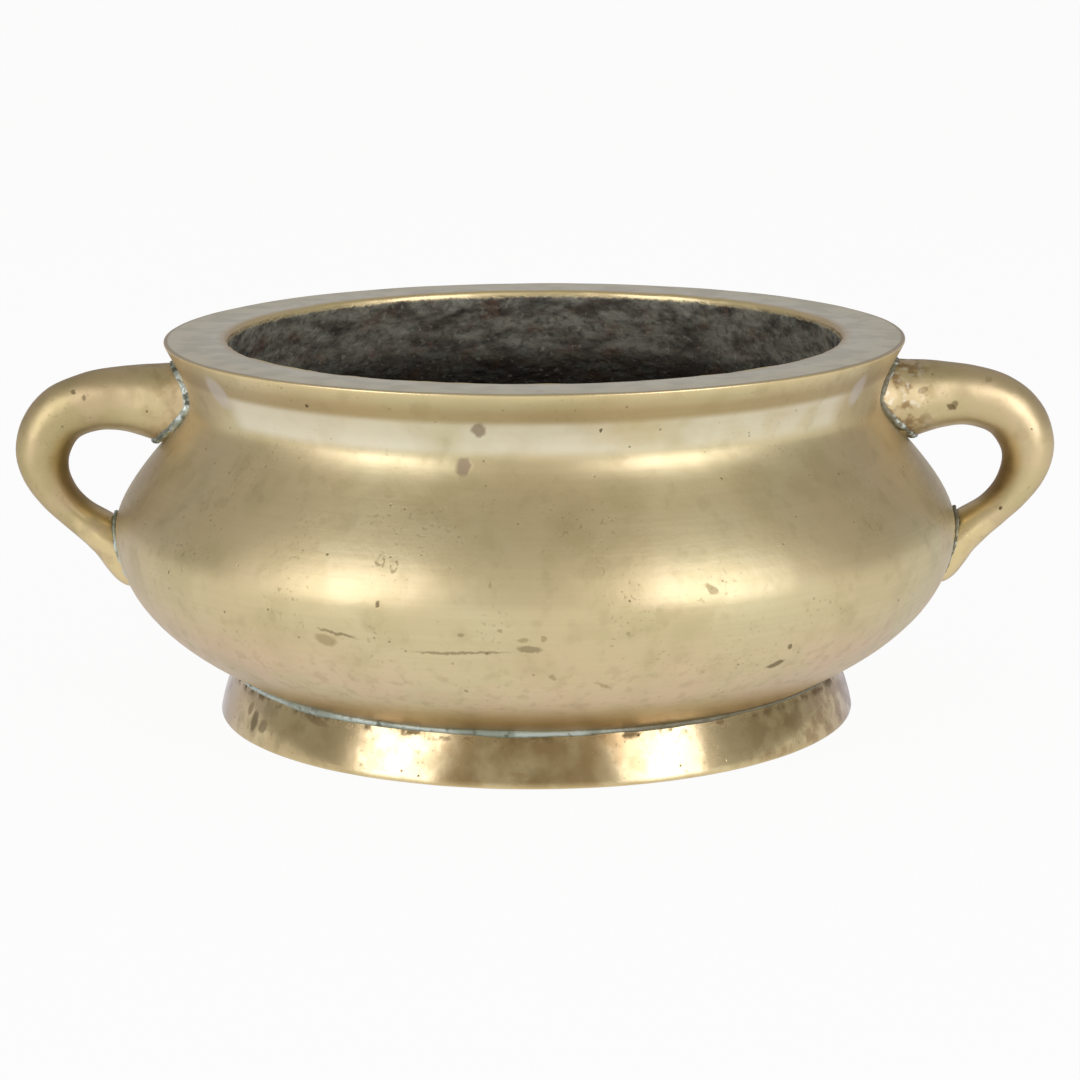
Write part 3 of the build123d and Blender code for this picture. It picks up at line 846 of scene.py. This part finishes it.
def handle_brass():
    """Cast brass drawn smooth with a file, then handled: satin, browner inside the loop, partly tarnish and
    partly painted shade, stained by flux at the right-hand root, and lighter and glossier on the tails, partly
    rubbed and partly a painted highlight."""
    coat = Coat("filed_cast_brass", HANDLE_BRASS, 0.42)
    coat.fray(1.0, 0.9)
    worn_brass(coat)
    across = add(coat.tree, "VectorMath", {0: coat.place}, operation="ABSOLUTE")
    flat = add(coat.tree, "VectorMath", {0: coat.place, 1: (1, 0, 1)}, operation="MULTIPLY")
    flat = add(coat.tree, "VectorMath", {0: flat}, operation="ABSOLUTE")
    reach = add(coat.tree, "VectorMath", {0: flat, 1: LOOP_MIDDLE}, operation="DISTANCE").outputs["Value"]
    # Inside the loop the brass is browned: partly tarnish, partly painted shade on the loop's inner faces
    in_loop = add(coat.tree, "MapRange", {"Value": reach, "From Min": 9.0, "From Max": 6.3},
                  interpolation_type="SMOOTHSTEP")
    coat.lay(in_loop, tint=BROWN_TARNISH, roughness=0.5, strength=0.7)
    coat.lay(coat.zone("X", 66.5, 65.0, across), tint=SOOT, roughness=0.8, strength=0.9)
    coat.lay(coat.zone("X", -78, -92), tint=DULL_HANDLE, roughness=0.5, strength=0.5)
    coat.lay(coat.clouded(7, 0.42, 0.66, 5, start=(0, 9, 9)), tint=PINK_BRASS, roughness=0.48, strength=0.3)
    near_root = coat.meeting(coat.zone("X", 83, 75, across), coat.zone("Z", 50, 54))
    right_root = coat.meeting(near_root, coat.zone("X", 0, 10))
    stain = coat.clouded(2.6, 0.46, 0.62, 6, start=(2, 0, 9))
    coat.lay(near_root, stain, tint=BROWN_TARNISH, roughness=0.6, strength=0.25)
    coat.lay(right_root, stain, tint=BROWN_TARNISH, roughness=0.6, strength=0.65)
    flecks = coat.clouded(2.0, 0.54, 0.68, 4, start=(5, 5, 0))
    coat.lay(right_root, flecks, tint=PALE_FLECK_AND_REFLECTION, roughness=0.5, strength=0.45)
    # The tails are tinted lighter and made glossier: partly rubbed brass, partly a painted highlight
    coat.lay(coat.zone("Z", 44, 39), coat.zone("X", 96, 92, across), coat.clouded(4, 0.30, 0.55, 3),
             tint=RUBBED_AND_SHEEN, roughness=0.25, strength=0.7)
    coat.raise_by(0.10, coat.clouded(8.0, 0.2, 0.8, 2))
    marked(coat, HANDLE_MARKS, 0.65, 0.05)
    return coat.done()


def tin_solder():
    """Tin and lead solder wiped on and oxidised: dull blue-grey with green-brown dirt in its hollows, darker on
    the right-hand handle and on the right of the foot."""
    coat = Coat("oxidised_tin_solder", SOLDER, 0.46, 0.75)
    coat.lay(coat.clouded(7, 0.46, 0.60, 3, start=(0, 4, 0)), tint=SOLDER_GREEN, roughness=0.6, metal=0.3,
             strength=0.75)
    coat.lay(coat.clouded(2.4, 0.55, 0.66, 5), tint=SOLDER_DIRT, roughness=0.7, metal=0.2, strength=0.85)
    off_wall = add(coat.tree, "Attribute", attribute_name="off_wall").outputs["Fac"]
    coat.lay(off_wall, coat.clouded(2.2, 0.46, 0.60, 4, start=(7, 7, 0)), tint=SOLDER_DIRT, roughness=0.6,
             metal=0.3, strength=0.75)
    right_hand = coat.zone("X", 60, 64)
    coat.lay(right_hand, tint=OLD_SOLDER, roughness=0.5, strength=0.85)
    coat.lay(right_hand, off_wall, coat.clouded(1.3, 0.50, 0.60, 2, start=(3, 3, 0)), tint=SOLDER,
             roughness=0.28, strength=0.85)
    low = coat.zone("Z", 18, 14)
    coat.lay(low, tint=SOLDER_GREEN, strength=0.3)
    coat.lay(low, coat.zone("X", 6, 22), tint=OLD_SOLDER, roughness=0.5, strength=0.8)
    coat.raise_by(0.10, coat.clouded(1.1, 0.2, 0.8, 4))
    return coat.done()


# The object
cast = cast_brass()
handles = handle_brass()
solder = tin_solder()
make_bowl(cast)
make_foot(foot_brass())
make_foot_seam(solder)
right = draw_loop()
left = mirror_loop(right)
finish_loop(right, 1, "right_handle", handles)
finish_loop(left, -1, "left_handle", handles)
for bead, rounding, middle, press in ROOT_SEAMS:
    make_root_seam(bead, rounding, middle, press, solder)

# The camera, at the photograph's own angle
camera = bpy.data.objects.new("camera", bpy.data.cameras.new("camera"))
camera.data.lens = LENS
camera.data.sensor_width = SENSOR
camera.matrix_world = (Matrix.Translation(CAMERA_PLACE) @ Matrix.Rotation(CAMERA_TURN, 4, "Z")
                       @ Matrix.Rotation(pi / 2 - CAMERA_TILT, 4, "X") @ Matrix.Rotation(CAMERA_ROLL, 4, "Z"))
bpy.context.scene.collection.objects.link(camera)
bpy.context.scene.camera = camera


# The room: a white floor, two soft boxes and a grey surround
def make_floor():
    """A plain floor, turned up at its edge, that is white to the eye and in reflections, and still takes the
    object's shadow."""
    clear_selection()
    bpy.ops.mesh.primitive_plane_add(size=FLOOR_SIZE)
    floor = bpy.context.object
    floor.name = "floor"
    bpy.ops.object.mode_set(mode="EDIT")
    bpy.ops.mesh.select_all(action="SELECT")
    bpy.ops.mesh.region_to_loop()
    bpy.ops.mesh.extrude_edges_move(TRANSFORM_OT_translate={"value": (0, 0, FLOOR_EDGE)})
    bpy.ops.object.mode_set(mode="OBJECT")
    material = bpy.data.materials.new("white_paper")
    material.use_nodes = True
    tree = material.node_tree
    tree.nodes.clear()
    rays = add(tree, "LightPath").outputs
    seen = add(tree, "Math", {0: rays["Is Camera Ray"], 1: rays["Is Glossy Ray"]}, operation="ADD")
    seen = add(tree, "Math", {0: seen, 1: rays["Is Transmission Ray"]}, operation="ADD", use_clamp=True)
    share = add(tree, "Math", {0: seen, 1: FLOOR_WHITE}, operation="MULTIPLY")
    paper = add(tree, "BsdfDiffuse", {"Color": (0.85, 0.85, 0.85, 1)})
    white = add(tree, "Emission", {"Strength": 1.0})
    mix = add(tree, "MixShader", {0: share, 1: paper, 2: white})
    add(tree, "OutputMaterial", {"Surface": mix})
    floor.data.materials.append(material)


def make_soft_box(name, side, up, brightness):
    """A lamp in a soft box, turned to the middle of the object."""
    lamp = bpy.data.lights.new(name, "AREA")
    lamp.shape = "RECTANGLE"
    lamp.size = BOX_WIDTH
    lamp.size_y = BOX_HEIGHT
    lamp.energy = brightness * pi * BOX_WIDTH * BOX_HEIGHT
    lamp.color = LAMP_TINT
    box = bpy.data.objects.new(name, lamp)
    side, up = radians(side), radians(up)
    way = Vector((sin(side) * cos(up), -cos(side) * cos(up), sin(up)))
    box.location = way * BOX_DISTANCE + Vector((0, 0, AIM_HEIGHT))
    box.rotation_euler = way.to_track_quat("Z", "Y").to_euler()
    bpy.context.scene.collection.objects.link(box)


def make_surround():
    """The room round the object: warm grey behind the camera, dimmer at the sides, cooler at the far end."""
    world = bpy.data.worlds.new("grey_surround")
    world.use_nodes = True
    tree = world.node_tree
    way = add(tree, "TexCoord").outputs["Generated"]
    # From -1 straight behind the camera to 1 straight ahead of it
    depth = add(tree, "SeparateXYZ", {0: way}).outputs["Y"]
    side = add(tree, "MapRange", {"Value": depth, "From Min": -0.75, "From Max": -0.1})
    back = add(tree, "MapRange", {"Value": depth, "From Min": 0.38, "From Max": 0.52})
    tint = add(tree, "Mix", {0: side, 6: ROOM_FRONT, 7: ROOM_SIDE}, data_type="RGBA").outputs[2]
    tint = add(tree, "Mix", {0: back, 6: tint, 7: ROOM_BACK}, data_type="RGBA").outputs[2]
    tree.links.new(tint, tree.nodes["Background"].inputs["Color"])
    bpy.context.scene.world = world


make_floor()
for name, side, up, brightness in SOFT_BOXES:
    make_soft_box(name, side, up, brightness)
make_surround()
bpy.context.scene.view_settings.view_transform = "Standard"

clear_selection()
